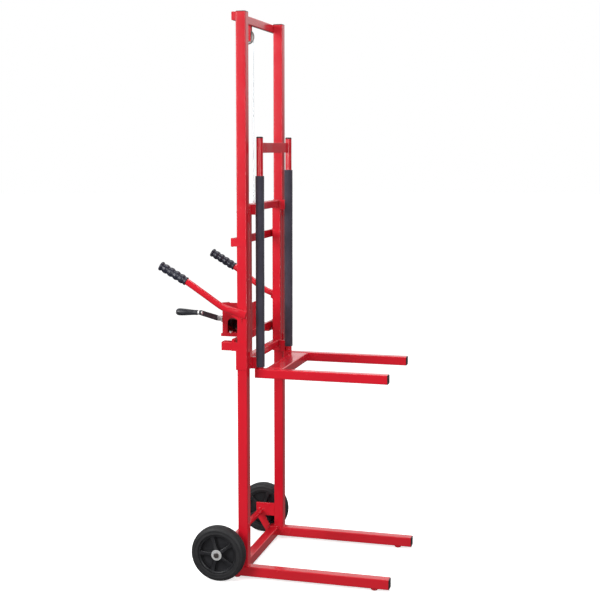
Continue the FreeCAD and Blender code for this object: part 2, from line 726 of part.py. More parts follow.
# ---------------------------------------------------------------- carriage
def build_carriage():
    side_x = post_x - side_back + side_depth / 2
    side_y = inner_face - side_gap - side_width / 2
    sides = []
    spacers = []
    for side, sign in SIDES:
        post_axis = sign * upright_y
        column_x = post_x + upright_x
        sides.append(square_tube(None, "Z", side_depth, side_width, tube_wall,
                                 carriage_top - carriage_bottom,
                                 (side_x, sign * side_y, carriage_bottom)))
        round_bar(f"upright_{side}", "Z", upright_r, upright_top - fork_z - fork_size,
                  (column_x, post_axis, fork_z + fork_size), upright_r - upright_wall)
        bottom = sleeve_near_z if sign < 0 else sleeve_far_z
        holes = [rod(upright_r, sleeve_length, "Z", (column_x, post_axis, bottom))]
        for spacer_z, spacer_height in ((fork_z + fork_size, 46), (carriage_top - 40, 40)):
            spacers.append(block(upright_x - upright_r - tube / 2, 24, spacer_height,
                                 (post_front, post_axis - 12, spacer_z)))
            holes.append(block(upright_x - upright_r - tube / 2, 24, spacer_height,
                               (post_front, post_axis - 12, spacer_z)))
        cut(f"foam_sleeve_{side}", rod(sleeve_r, sleeve_length, "Z", (column_x, post_axis, bottom)),
            fuse(None, holes))
        heel = square_tube(None, "X", fork_size, fork_size, tube_wall, fork_cross_x - fork_back,
                           (post_x + fork_back, post_axis, fork_z + fork_size / 2))
        reach = square_tube(None, "X", fork_size, fork_size, tube_wall, fork_reach - fork_cross_x,
                            (post_x + fork_cross_x, post_axis, fork_z + fork_size / 2))
        arm = fuse(f"fork_arm_{side}", [heel, reach])
        # The seam ahead of the upright stays, because the arm's free top face begins there.
        arm.Refine = False
    group("carriage_side_tubes", sides)
    group("upright_spacers", spacers)

    span = side_y - side_width / 2
    for label, bottom in (("carriage_top_bar", carriage_top - cross_size),
                          ("carriage_lower_bar", lower_bar_z)):
        square_tube(label, "Y", cross_size, cross_size, tube_wall, 2 * span,
                    (post_x, -span, bottom + cross_size / 2))
    fork_inner = upright_y - fork_size / 2
    square_tube("fork_cross_tube", "Y", fork_size, fork_cross_depth, tube_wall, 2 * fork_inner,
                (post_x + fork_cross_x + fork_cross_depth / 2, -fork_inner, fork_z + fork_size / 2))
    caps = []
    for side, sign in SIDES:
        caps.append(rod(upright_r, 6, "Z", (post_x + upright_x, sign * upright_y, upright_top)))
        caps.append(block(cap_depth, fork_size, fork_size,
                          (post_x + fork_reach, sign * upright_y - fork_size / 2, fork_z)))
    group("carriage_end_caps", caps)

    back, flat, thick = 22, 40, 5
    edge = upright_y - upright_r
    front = [(0, -edge), (-back, -flat), (-back, flat), (0, edge)]
    rear = [(a - thick, b) for a, b in reversed(front)]
    profile_plate("carriage_head_bar", "Z", front + rear, head_height,
                  (post_x + upright_x, 0, head_z))


def build_guide_shoes():
    shoes = []
    lip_in = tube / 2 + 0.3
    lip_out = lip_in + 4
    pad_in = inner_face - side_gap
    pad_out = inner_face - 0.3
    for side, sign in SIDES:
        outer = [(-lip_out, pad_in), (lip_out, pad_in), (lip_out, pad_in + 15), (lip_in, pad_in + 15),
                 (lip_in, pad_out), (-lip_in, pad_out), (-lip_in, pad_in + 15), (-lip_out, pad_in + 15)]
        corners = [(a, sign * b) for a, b in outer]
        for shoe_z in (carriage_bottom + 10, carriage_top - 68):
            shoes.append(profile_plate(None, "Z", corners, 60, (post_x, 0, shoe_z)))
    group("guide_shoes", shoes)


build_base()
build_mast()
bar_plates = build_rear_bars()
build_axle()
build_wheels()
handle_gussets = build_handles()
group("post_side_plates", bar_plates + handle_gussets)
build_winch_frame()
build_drum()
build_crank()
pawl_pin = build_pawl()
pulley_bolt = build_pulley()
build_rope()
build_fasteners([pawl_pin, pulley_bolt])
build_carriage()
build_guide_shoes()
doc.recompute()

failed = [o.Name for o in doc.Objects if "Invalid" in o.State or "Error" in o.State]
if failed:
    raise RuntimeError(f"objects failed to compute: {failed}")
os.makedirs("parts", exist_ok=True)
for part in subparts:
    if part.Shape.isNull() or not part.Shape.isValid():
        raise RuntimeError(f"{part.Label} has no valid shape")
    part.Shape.exportStep(f"parts/{part.Label}.step")
print(len(subparts), "sub-parts written")
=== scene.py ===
import json
import math
import random
import bmesh
import bpy
from mathutils import Matrix, Vector, noise


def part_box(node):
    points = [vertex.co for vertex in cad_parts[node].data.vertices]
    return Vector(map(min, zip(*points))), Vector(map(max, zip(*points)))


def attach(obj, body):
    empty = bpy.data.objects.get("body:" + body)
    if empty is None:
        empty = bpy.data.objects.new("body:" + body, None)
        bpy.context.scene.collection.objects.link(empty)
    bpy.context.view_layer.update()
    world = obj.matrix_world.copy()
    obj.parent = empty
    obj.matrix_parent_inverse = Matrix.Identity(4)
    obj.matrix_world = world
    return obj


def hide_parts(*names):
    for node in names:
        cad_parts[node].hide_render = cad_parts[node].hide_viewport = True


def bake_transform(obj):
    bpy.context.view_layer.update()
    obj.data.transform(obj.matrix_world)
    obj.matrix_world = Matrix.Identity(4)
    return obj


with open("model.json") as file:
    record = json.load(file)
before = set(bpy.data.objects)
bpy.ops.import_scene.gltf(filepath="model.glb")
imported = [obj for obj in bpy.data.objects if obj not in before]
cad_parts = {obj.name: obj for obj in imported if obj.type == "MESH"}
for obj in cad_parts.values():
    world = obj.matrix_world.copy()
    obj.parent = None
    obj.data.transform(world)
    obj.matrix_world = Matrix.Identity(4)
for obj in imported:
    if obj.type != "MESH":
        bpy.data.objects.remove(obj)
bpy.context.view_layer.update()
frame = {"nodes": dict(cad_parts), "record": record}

# Visual model of the board lifting trolley. Everything is in metres in the frame's own axes:
# +X forward along the forks, +Y away from the near side, +Z up. "near" is the -Y side.
MM = 0.001
SIDES = (("near", -1), ("far", 1))
WAYS = {"X": (1, 2, 0), "Y": (2, 0, 1), "Z": (0, 1, 2)}
UP = Vector((0, 0, 1))
BODY_OF = {node: body for body, nodes in frame["record"]["behaviour"]["bodies"].items() for node in nodes}


def centre_of(node):
    low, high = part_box(node)
    return (low + high) / 2


POST_X = centre_of("post_lower_near").x
POST_Y = centre_of("post_lower_far").y
POST_HALF = (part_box("post_lower_far")[1].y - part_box("post_lower_far")[0].y) / 2
OUTER_FACE = POST_Y + POST_HALF
INNER_FACE = POST_Y - POST_HALF
SHAFT = centre_of("pinion_shaft")
DRUM = centre_of("drum")
AXLE = centre_of("axle")
PULLEY = centre_of("pulley_sheave")
TUBE_WALL = 2.5 * MM


# ---------------------------------------------------------------- materials
class Recipe:
    """One Principled material, built node by node in the object's own coordinates."""

    def __init__(self, name, **settings):
        self.material = bpy.data.materials.new(name)
        self.material.use_nodes = True
        self.nodes = self.material.node_tree.nodes
        self.links = self.material.node_tree.links
        self.shader = self.nodes["Principled BSDF"]
        for socket, value in settings.items():
            self.shader.inputs[socket.replace("_", " ")].default_value = value
        self.where = self.nodes.new("ShaderNodeTexCoord").outputs["Object"]
        self.normal = None

    def stretched(self, x, y, z):
        mapping = self.nodes.new("ShaderNodeMapping")
        mapping.inputs["Scale"].default_value = (x, y, z)
        self.links.new(self.where, mapping.inputs["Vector"])
        return mapping.outputs["Vector"]

    def noise(self, scale, detail=4.0, roughness=0.55, where=None):
        node = self.nodes.new("ShaderNodeTexNoise")
        node.inputs["Scale"].default_value = scale
        node.inputs["Detail"].default_value = detail
        node.inputs["Roughness"].default_value = roughness
        self.links.new(where or self.where, node.inputs["Vector"])
        return node.outputs["Fac"]

    def cells(self, scale, where=None):
        node = self.nodes.new("ShaderNodeTexVoronoi")
        node.inputs["Scale"].default_value = scale
        self.links.new(where or self.where, node.inputs["Vector"])
        return node.outputs["Distance"]

    def span(self, value, low, high, to_low, to_high):
        node = self.nodes.new("ShaderNodeMapRange")
        node.interpolation_type = "SMOOTHSTEP"
        limits = {"From Min": low, "From Max": high, "To Min": to_low, "To Max": to_high}
        for socket, number in limits.items():
            node.inputs[socket].default_value = number
        self.links.new(value, node.inputs["Value"])
        return node.outputs["Result"]

    def combine(self, operation, first, second):
        node = self.nodes.new("ShaderNodeMath")
        node.operation = operation
        for socket, value in zip(node.inputs, (first, second)):
            if isinstance(value, (int, float)):
                socket.default_value = value
            else:
                self.links.new(value, socket)
        return node.outputs["Value"]

    def tint(self, factor, first, second):
        node = self.nodes.new("ShaderNodeMix")
        node.data_type = "RGBA"
        self.links.new(factor, node.inputs["Factor"])
        for socket, value in ((node.inputs[6], first), (node.inputs[7], second)):
            if isinstance(value, tuple):
                socket.default_value = (*value, 1.0)
            else:
                self.links.new(value, socket)
        return node.outputs[2]

    def mottle(self, cloud, first, second):
        """A soft blend of two colours."""
        return self.tint(self.span(cloud, 0.35, 0.7, 0.0, 1.0), first, second)

    def height(self):
        split = self.nodes.new("ShaderNodeSeparateXYZ")
        self.links.new(self.where, split.inputs["Vector"])
        return split.outputs["Z"]

    def edges(self):
        """1 on edges and corners, 0 on flat faces; it marks edge wear, and on the red paint also a painted
        edge highlight.
        """
        rounded = self.nodes.new("ShaderNodeBevel")
        rounded.samples = 4
        rounded.inputs["Radius"].default_value = 1.3 * MM
        compare = self.nodes.new("ShaderNodeVectorMath")
        compare.operation = "DOT_PRODUCT"
        geometry = self.nodes.new("ShaderNodeNewGeometry")
        self.links.new(rounded.outputs["Normal"], compare.inputs[0])
        self.links.new(geometry.outputs["Normal"], compare.inputs[1])
        return self.span(compare.outputs["Value"], 0.88, 0.995, 1.0, 0.0)

    def bump(self, height, strength, distance):
        node = self.nodes.new("ShaderNodeBump")
        node.inputs["Strength"].default_value = strength
        node.inputs["Distance"].default_value = distance
        self.links.new(height, node.inputs["Height"])
        if self.normal is not None:
            self.links.new(self.normal, node.inputs["Normal"])
        self.normal = node.outputs["Normal"]
        self.links.new(self.normal, self.shader.inputs["Normal"])

    def feed(self, socket, value):
        self.links.new(value, self.shader.inputs[socket])

    def roughen(self, cloud, low, high, extra=None):
        """Roughness that drifts between two values, with more where extra says so."""
        drift = self.span(cloud, 0.3, 0.7, low, high)
        self.feed("Roughness", drift if extra is None else self.combine("ADD", drift, extra))


def red_powder_coat():
    paint = Recipe("red_powder_coat", Coat_Weight=0.4, Coat_Roughness=0.08, IOR=1.42)
    colour = paint.mottle(paint.noise(2.2, 3.0), (0.73, 0.010, 0.026), (0.64, 0.008, 0.021))
    # Lighter pink on edges and corners, in patches: partly worn paint, partly a painted highlight along
    # the edges.
    patches = paint.span(paint.noise(90, 6.0), 0.5, 0.64, 0.04, 0.4)
    rubbed_and_highlit_edges = paint.combine("MULTIPLY", paint.edges(), patches)
    colour = paint.tint(rubbed_and_highlit_edges, colour, (0.86, 0.09, 0.11))
    scuff = paint.span(paint.noise(24, 9.0, 0.72, paint.stretched(1, 1, 0.16)), 0.70, 0.78, 0.0, 0.3)
    colour = paint.tint(scuff, colour, (0.42, 0.008, 0.014))
    low_dust = paint.combine("MULTIPLY", paint.span(paint.height(), 0.01, 0.12, 0.05, 0.0),
                             paint.noise(70, 7.0))
    colour = paint.tint(low_dust, colour, (0.36, 0.24, 0.20))
    paint.feed("Base Color", colour)
    gloss = paint.combine("ADD", paint.span(paint.noise(11, 5.0), 0.3, 0.75, 0.20, 0.28),
                          paint.combine("MULTIPLY", scuff, 0.15))
    paint.feed("Roughness", gloss)
    paint.bump(paint.noise(330, 1.5), 0.07, 0.0004)
    paint.bump(paint.noise(45, 1.5), 0.03, 0.0010)
    return paint.material


def closed_cell_foam():
    foam = Recipe("closed_cell_foam", Sheen_Weight=0.18, Sheen_Roughness=0.6, IOR=1.4)
    pores = foam.cells(620)
    cloud = foam.noise(22, 5.0)
    colour = foam.mottle(cloud, (0.033, 0.029, 0.050), (0.052, 0.047, 0.074))
    # Darker at the pore centres: painted shade inside the pores.
    colour = foam.tint(foam.span(pores, 0.0, 0.25, 0.6, 0.0), colour, (0.012, 0.011, 0.016))
    rub = foam.span(foam.noise(9, 7.0, 0.7, foam.stretched(1, 1, 0.25)), 0.6, 0.75, 0.0, 0.3)
    foam.feed("Base Color", foam.tint(rub, colour, (0.09, 0.085, 0.10)))
    foam.roughen(cloud, 0.62, 0.80)
    foam.bump(pores, 0.5, 0.0006)
    foam.bump(foam.noise(45, 4.0), 0.35, 0.0015)
    return foam.material


def black_rubber(name, colour, grain, shine):
    rubber = Recipe(name, IOR=1.5, Specular_IOR_Level=0.6)
    speck = rubber.noise(grain, 6.0)
    worn = rubber.combine("MULTIPLY", rubber.edges(), rubber.noise(70, 5.0))
    base = rubber.tint(rubber.span(speck, 0.4, 0.65, 0.0, 1.0), colour, tuple(1.5 * c for c in colour))
    rubber.feed("Base Color", rubber.tint(worn, base, (0.040, 0.040, 0.050)))
    rubber.roughen(rubber.noise(30, 6.0), shine, shine + 0.16)
    rubber.bump(speck, 0.25, 0.0004)
    return rubber.material


def tyre_rubber():
    tyre = Recipe("tyre_rubber", IOR=1.5, Specular_IOR_Level=0.4)
    cloud = tyre.noise(18, 7.0, 0.6)
    colour = tyre.mottle(cloud, (0.014, 0.014, 0.016), (0.026, 0.025, 0.027))
    dust = tyre.span(tyre.noise(75, 8.0, 0.7), 0.55, 0.75, 0.0, 0.35)
    tyre.feed("Base Color", tyre.tint(dust, colour, (0.10, 0.092, 0.085)))
    tyre.roughen(cloud, 0.5, 0.7)
    tyre.bump(tyre.noise(500, 3.0), 0.3, 0.0004)
    tyre.bump(cloud, 0.15, 0.002)
    return tyre.material


def moulded_plastic(name, colour, shine):
    plastic = Recipe(name, IOR=1.46)
    cloud = plastic.noise(35, 5.0)
    base = plastic.mottle(cloud, colour, tuple(1.6 * c for c in colour))
    patches = plastic.span(plastic.noise(140, 5.0), 0.45, 0.6, 0.0, 0.6)
    worn = plastic.combine("MULTIPLY", plastic.edges(), patches)
    plastic.feed("Base Color", plastic.tint(worn, base, tuple(min(1.0, 3.5 * c + 0.02) for c in colour)))
    plastic.roughen(cloud, shine, shine + 0.12)
    plastic.bump(plastic.noise(900, 2.0), 0.22, 0.0002)
    return plastic.material


def zinc_plate():
    zinc = Recipe("zinc_plate", Metallic=0.5)
    cloud = zinc.noise(55, 6.0)
    colour = zinc.mottle(cloud, (0.86, 0.86, 0.84), (0.74, 0.75, 0.76))
    spot = zinc.span(zinc.noise(210, 6.0), 0.62, 0.72, 0.0, 0.5)
    zinc.feed("Base Color", zinc.tint(spot, colour, (0.45, 0.42, 0.38)))
    zinc.roughen(cloud, 0.30, 0.42, zinc.combine("MULTIPLY", spot, 0.4))
    zinc.bump(zinc.noise(700, 3.0, 0.5, zinc.stretched(1, 1, 0.2)), 0.12, 0.0002)
    return zinc.material


def laid_wire(name, clean, dull, metal):
    wire = Recipe(name, Metallic=metal)
    cloud = wire.noise(160, 5.0)
    wire.feed("Base Color", wire.tint(cloud, clean, dull))
    wire.roughen(cloud, 0.3, 0.45)
    wire.bump(wire.noise(1800, 2.0), 0.2, 0.0001)
    return wire.material


def dull_steel():
    steel = Recipe("dull_turned_steel", Metallic=1.0)
    cloud = steel.noise(48, 6.0)
    base = steel.mottle(cloud, (0.20, 0.18, 0.175), (0.13, 0.115, 0.11))
    spot = steel.span(steel.noise(190, 7.0, 0.65), 0.58, 0.7, 0.0, 0.6)
    steel.feed("Base Color", steel.tint(spot, base, (0.12, 0.065, 0.04)))
    steel.roughen(cloud, 0.36, 0.5, spot)
    steel.bump(steel.noise(420, 4.0), 0.2, 0.0003)
    return steel.material


def black_painted_steel():
    steel = Recipe("black_painted_steel", IOR=1.36, Specular_IOR_Level=0.2)
    cloud = steel.noise(30, 5.0)
    base = steel.tint(cloud, (0.045, 0.048, 0.058), (0.066, 0.069, 0.080))
    worn = steel.combine("MULTIPLY", steel.edges(), steel.span(steel.noise(120, 6.0), 0.5, 0.66, 0.0, 0.6))
    steel.feed("Base Color", steel.tint(worn, base, (0.22, 0.22, 0.23)))
    steel.roughen(cloud, 0.55, 0.72)
    steel.bump(steel.noise(380, 3.0), 0.2, 0.0003)
    return steel.material


def sintered_bronze():
    bronze = Recipe("sintered_bronze", Metallic=1.0)
    cloud = bronze.noise(240, 5.0)
    bronze.feed("Base Color", bronze.tint(cloud, (0.66, 0.47, 0.22), (0.46, 0.30, 0.13)))
    bronze.roughen(cloud, 0.3, 0.5)
    bronze.bump(cloud, 0.2, 0.0002)
    return bronze.material


LOOKS = {
    "red_paint": red_powder_coat(),
    "foam": closed_cell_foam(),
    "black_plastic": moulded_plastic("black_cap_plastic", (0.014, 0.014, 0.015), 0.4),
    "black_rubber": black_rubber("handle_rubber", (0.014, 0.014, 0.027), 260, 0.30),
    "grip_plastic": moulded_plastic("crank_grip_plastic", (0.021, 0.022, 0.027), 0.24),
    "tyre": tyre_rubber(),
    "rim_plastic": moulded_plastic("rim_plastic", (0.013, 0.013, 0.015), 0.3),
    "wire_rope": laid_wire("galvanised_wire", (0.66, 0.70, 0.71), (0.44, 0.47, 0.49), 0.8),
    # The rope turns on the drum get a dark wire colour.
    "greased_rope": laid_wire("dark_drum_wire", (0.075, 0.073, 0.070), (0.030, 0.028, 0.027), 0.5),
    "cast_steel": dull_steel(),
    "zinc_steel": zinc_plate(),
    "black_steel": black_painted_steel(),
    "bush_brass": sintered_bronze(),
}
SLOT_OF = {entry["node"]: entry["material_slot"] for entry in frame["record"]["subparts"]}


# ---------------------------------------------------------------- mesh helpers
def loft(mesh, rings, loop=False, caps=True):
    """Skin rings of equal length; the ends are capped unless the rings close on themselves."""
    rows = [[mesh.verts.new(point) for point in ring] for ring in rings]
    count = len(rows[0])
    for below, above in zip(rows, rows[1:] + (rows[:1] if loop else [])):
        for i in range(count):
            j = (i + 1) % count
            mesh.faces.new((below[i], below[j], above[j], above[i]))
    if caps and not loop:
        mesh.faces.new(rows[0][::-1])
        mesh.faces.new(rows[-1])


def section(centre, axis, along, outline):
    """An outline laid across an axis, at a coordinate along it."""
    a, b, c = WAYS[axis]
    ring = []
    for p, q in outline:
        spot = Vector(centre)
        spot[a] += p
        spot[b] += q
        spot[c] = along
        ring.append(spot)
    return ring


def round_ring(centre, radius, first, second, count):
    """A circle of points in the plane of two directions."""
    turns = [2 * math.pi * k / count for k in range(count)]
    return [centre + radius * (math.cos(turn) * first + math.sin(turn) * second) for turn in turns]


def offsets(radius, along, *steps):
    """Profile points given in millimetres from one (radius, along) point."""
    return [(radius + a * MM, along + b * MM) for a, b in steps]


def foot_of(low, high):
    """The middle of a box's bottom face."""
    return Vector(((low.x + high.x) / 2, (low.y + high.y) / 2, low.z))


def rounded_ring(width, depth, radius, steps=4):
    """A rounded rectangle about the origin, anticlockwise."""
    points = []
    for corner, (side, end) in enumerate(((1, -1), (1, 1), (-1, 1), (-1, -1))):
        for step in range(steps + 1):
            angle = math.radians(90 * (corner - 1 + step / steps))
            points.append((side * (width / 2 - radius) + radius * math.cos(angle),
                           end * (depth / 2 - radius) + radius * math.sin(angle)))
    return points


def bar(mesh, low, high, axis, radius=2 * MM, edge=0.6 * MM, wall=None):
    """A rounded bar that fills a box, or a tube if it has a wall."""
    a, b, c = WAYS[axis]
    middle = (low + high) / 2
    stations = [(low[c], edge), (low[c] + edge, 0), (high[c] - edge, 0), (high[c], edge)]
    if wall:
        stations += [(high[c], wall - edge), (high[c] - edge, wall), (low[c] + edge, wall),
                     (low[c], wall - edge)]
    rings = []
    for along, inset in stations:
        outline = rounded_ring(high[a] - low[a] - 2 * inset, high[b] - low[b] - 2 * inset,
                               max(radius - inset, 0.3 * MM))
        rings.append(section(middle, axis, along, outline))
    loft(mesh, rings, loop=wall is not None)


def frame_along(direction):
    """A rotation that takes +Z to a direction."""
    return direction.normalized().to_track_quat("Z", "Y").to_matrix()


def revolve(mesh, profile, at, direction, segments=48, loop=False, ripple=None):
    """Turn (radius, along) points about a line through at; ripple may change a radius."""
    turn = frame_along(direction)
    rings = []
    for radius, along in profile:
        ring = []
        for step in range(segments):
            angle = 2 * math.pi * step / segments
            r = ripple(radius, along, angle) if ripple else radius
            ring.append(at + turn @ Vector((r * math.cos(angle), r * math.sin(angle), along)))
        rings.append(ring)
    loft(mesh, rings, loop)


def mirrored(profile):
    """A (radius, along) profile followed by its reflection, as one closed outline."""
    return profile + [(radius, -along) for radius, along in reversed(profile)]


def path_frames(path):
    """Position and two cross directions at each point, carried along without twist."""
    frames = []
    side = None
    for i, point in enumerate(path):
        ahead = (path[min(i + 1, len(path) - 1)] - path[max(i - 1, 0)]).normalized()
        if side is None:
            side = ahead.orthogonal().normalized()
        side = (side - ahead * side.dot(ahead)).normalized()
        frames.append((point, side, ahead.cross(side)))
    return frames


def sweep(mesh, path, radii, segments=16):
    """A round section carried along a path; radii is a number or one per point."""
    rings = []
    for i, (point, side, up) in enumerate(path_frames(path)):
        radius = radii[i] if isinstance(radii, list) else radii
        rings.append(round_ring(point, radius, side, up, segments))
    loft(mesh, rings)


def smooth_path(points, steps=8):
    """Catmull-Rom points through a short list."""
    padded = [2 * points[0] - points[1]] + points + [2 * points[-1] - points[-2]]
    path = []
    for a, b, c, d in zip(padded, padded[1:], padded[2:], padded[3:]):
        for step in range(steps):
            t = step / steps
            path.append(0.5 * (2 * b + (c - a) * t + (2 * a - 5 * b + 4 * c - d) * t * t
                               + (3 * b - a - 3 * c + d) * t ** 3))
    return path + [points[-1]]


def islands(node):
    """The box of each separate solid in a CAD node, as (low, high)."""
    mesh = bmesh.new()
    mesh.from_mesh(frame["nodes"][node].data)
    bmesh.ops.remove_doubles(mesh, verts=mesh.verts, dist=0.01 * MM)
    waiting = set(mesh.verts)
    boxes = []
    while waiting:
        found = [waiting.pop()]
        for vertex in found:
            for link in vertex.link_edges:
                other = link.other_vert(vertex)
                if other in waiting:
                    waiting.remove(other)
                    found.append(other)
        spots = [v.co for v in found]
        boxes.append((Vector([min(p[i] for p in spots) for i in range(3)]),
                      Vector([max(p[i] for p in spots) for i in range(3)])))
    mesh.free()
    return sorted(boxes, key=lambda ends: (ends[0].y, ends[0].z, ends[0].x))


def piece(name, mesh, look, body, nodes=(), sharp=38):
    """Turn a bmesh into an object that rides a CAD body and stands for CAD nodes."""
    bmesh.ops.recalc_face_normals(mesh, faces=mesh.faces)
    data = bpy.data.meshes.new(name)
    mesh.to_mesh(data)
    mesh.free()
    data.shade_smooth()
    data.set_sharp_from_angle(angle=math.radians(sharp))
    data.materials.append(LOOKS[look])
    obj = bpy.data.objects.new(name, data)
    bpy.context.scene.collection.objects.link(obj)
    normals = obj.modifiers.new("Weighted", "WEIGHTED_NORMAL")
    normals.keep_sharp = True
    if nodes:
        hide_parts(*nodes)
    if body:
        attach(obj, body)
    return obj


def soften(node, width):
    """Round a CAD node's edges a little with modifiers."""
    obj = frame["nodes"][node]
    weld = obj.modifiers.new("Weld", "WELD")
    weld.merge_threshold = 0.01 * MM
    bevel = obj.modifiers.new("Bevel", "BEVEL")
    bevel.width = width
    bevel.segments = 2
    bevel.limit_method = "ANGLE"
    bevel.angle_limit = math.radians(40)
    normals = obj.modifiers.new("Weighted", "WEIGHTED_NORMAL")
    normals.keep_sharp = True


# ---------------------------------------------------------------- square tubes, flat bars and caps
def build_tubes():
    tubes = {"leg_near": "X", "leg_far": "X", "base_cross_tube": "Y", "post_lower_near": "Z",
             "post_lower_far": "Z", "post_upper_near": "Z", "post_upper_far": "Z",
             "carriage_top_bar": "Y", "carriage_lower_bar": "Y", "fork_arm_near": "X",
             "fork_arm_far": "X", "fork_cross_tube": "Y"}
    for node, axis in tubes.items():
        mesh = bmesh.new()
        bar(mesh, *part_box(node), axis, 4.2 * MM, 0.5 * MM, TUBE_WALL)
        piece(f"{node}_tube", mesh, "red_paint", BODY_OF[node], [node])
    for node, axis in (("rest_stubs", "X"), ("carriage_side_tubes", "Z")):
        mesh = bmesh.new()
        for low, high in islands(node):
            bar(mesh, low, high, axis, 3 * MM, 0.5 * MM, TUBE_WALL)
        piece(f"{node}_pair", mesh, "red_paint", BODY_OF[node], [node])
    for node, radius in (("mast_top_bar", 3), ("rear_bars", 2)):
        mesh = bmesh.new()
        for low, high in islands(node):
            bar(mesh, low, high, "Y", radius * MM, 0.8 * MM)
        piece(f"{node}_flat", mesh, "red_paint", BODY_OF[node], [node])


def cap_end(mesh, low, high, axis, middle):
    """A moulded end cap: square against its tube and softly crowned on its outer face."""
    a, b, c = WAYS[axis]
    depth = high[c] - low[c]
    away = 1 if (low[c] + high[c]) / 2 > middle[c] else -1
    tube_face = low[c] if away > 0 else high[c]
    size = (high[a] - low[a], high[b] - low[b])
    centre = (low + high) / 2
    rings = []
    for share, inset, radius in ((0.0, 0.3, 4.0), (0.3, 0.0, 4.4), (0.62, 0.35, 4.6), (0.85, 1.2, 4.4),
                                 (0.96, 2.6, 3.6), (1.0, 5.0, 2.6)):
        outline = rounded_ring(size[0] - 2 * inset * MM, size[1] - 2 * inset * MM, radius * MM)
        rings.append(section(centre, axis, tube_face + away * depth * share, outline))
    loft(mesh, rings)


def build_caps():
    post_middle = Vector((POST_X, 0, 1.0))
    mesh = bmesh.new()
    for low, high in islands("frame_end_caps"):
        size = high - low
        axis = "XYZ"[min(range(3), key=lambda i: size[i])]
        cap_end(mesh, low, high, axis, post_middle)
    piece("frame_end_cap_set", mesh, "black_plastic", "frame", ["frame_end_caps"])
    mesh = bmesh.new()
    for low, high in islands("carriage_end_caps"):
        size = high - low
        is_fork_cap = size.x < 5 * MM
        if is_fork_cap:
            cap_end(mesh, low, high, "X", post_middle)
        else:
            r = size.x / 2
            profile = offsets(r, 0, (-0.4, 0), (0, 0.6))
            profile += offsets(r, size.z, (0, -2.6), (-0.8, -1.1), (-2.6, -0.3), (-6, 0))
            revolve(mesh, profile, foot_of(low, high), UP, 40)
    piece("carriage_end_cap_set", mesh, "black_plastic", "carriage", ["carriage_end_caps"])
    mesh = bmesh.new()
    for low, high in islands("foot_glides"):
        r = (high.x - low.x) / 2
        profile = offsets(r, 0, (-6, 0), (-4.6, 0.5), (-2.6, 2), (-0.9, 4.2), (-0.1, 6.4), (0, 7.4))
        profile += offsets(r, high.z - low.z, (0, -0.6), (-0.6, 0))
        revolve(mesh, profile, foot_of(low, high), UP, 48)
    piece("foot_glide_set", mesh, "red_paint", "frame", ["foot_glides"])


# ---------------------------------------------------------------- uprights, foam and head bar
def build_uprights():
    random.seed(11)
    for side in ("near", "far"):
        low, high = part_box(f"upright_{side}")
        r = (high.x - low.x) / 2
        long = high.z - low.z
        mesh = bmesh.new()
        revolve(mesh, [(r, 0), (r, long), (r - 2 * MM, long), (r - 2 * MM, 0)],
                foot_of(low, high), UP, 40, loop=True)
        piece(f"upright_{side}_tube", mesh, "red_paint", "carriage", [f"upright_{side}"])

        low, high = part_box(f"foam_sleeve_{side}")
        outer = (high.x - low.x) / 2
        tall = high.z - low.z
        shift = random.uniform(0, 50)

        def ragged(radius, along, angle):
            if radius < outer - 3 * MM:
                return radius
            swell = noise.noise(Vector((math.cos(angle), math.sin(angle), along * 9 + shift)))
            fine = noise.noise(Vector((3 * math.cos(angle), 3 * math.sin(angle), along * 70 + shift)))
            slit = math.exp(-((angle - math.pi) / 0.05) ** 2)
            return radius - 0.35 * MM + 0.3 * MM * swell + 0.15 * MM * fine - 1.1 * MM * slit

        rows = int(tall / (9 * MM))
        profile = offsets(outer, 0, (-2.2, 0.2), (-0.7, 0.7))
        profile += [(outer, 2 * MM + (tall - 4 * MM) * i / rows) for i in range(rows + 1)]
        profile += offsets(outer, tall, (-0.7, -0.7), (-2.2, -0.2))
        profile += [(r + 0.1 * MM, tall), (r + 0.1 * MM, 0)]
        mesh = bmesh.new()
        revolve(mesh, profile, foot_of(low, high), UP, 56, loop=True, ripple=ragged)
        sleeve = piece(f"foam_sleeve_{side}_pad", mesh, "foam", "carriage", [f"foam_sleeve_{side}"], 60)


def build_head_bar():
    """A flat bar between the uprights, bowed back to a flat middle."""
    low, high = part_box("carriage_head_bar")
    thick = 5 * MM
    reach = high.y
    flat = 40 * MM
    bend = 12 * MM
    front = high.x
    bow = high.x - low.x - thick
    outline = [Vector((front, -reach, 0))]
    slope = bow / (reach - flat)
    for sign in (-1, 1):
        knee = Vector((front - bow, sign * flat, 0))
        for step in range(7):
            t = sign * (step / 3 - 1)
            away = sign * bend * t
            over = slope * bend * (1 + sign * away / bend) ** 2 / 4
            outline.append(Vector((knee.x + over, knee.y + away, 0)))
    outline.append(Vector((front, reach, 0)))
    mesh = bmesh.new()
    rings = []
    edge = 0.8 * MM
    for i, spot in enumerate(outline):
        ahead = (outline[min(i + 1, len(outline) - 1)] - outline[max(i - 1, 0)]).normalized()
        across = Vector((ahead.y, -ahead.x, 0))
        cut = rounded_ring(thick, high.z - low.z, edge, 3)
        rings.append([spot + across * (p - thick / 2) + Vector((0, 0, (low.z + high.z) / 2 + q))
                      for p, q in cut])
    loft(mesh, rings)
    piece("carriage_head_bar_bowed", mesh, "red_paint", "carriage", ["carriage_head_bar"], 30)


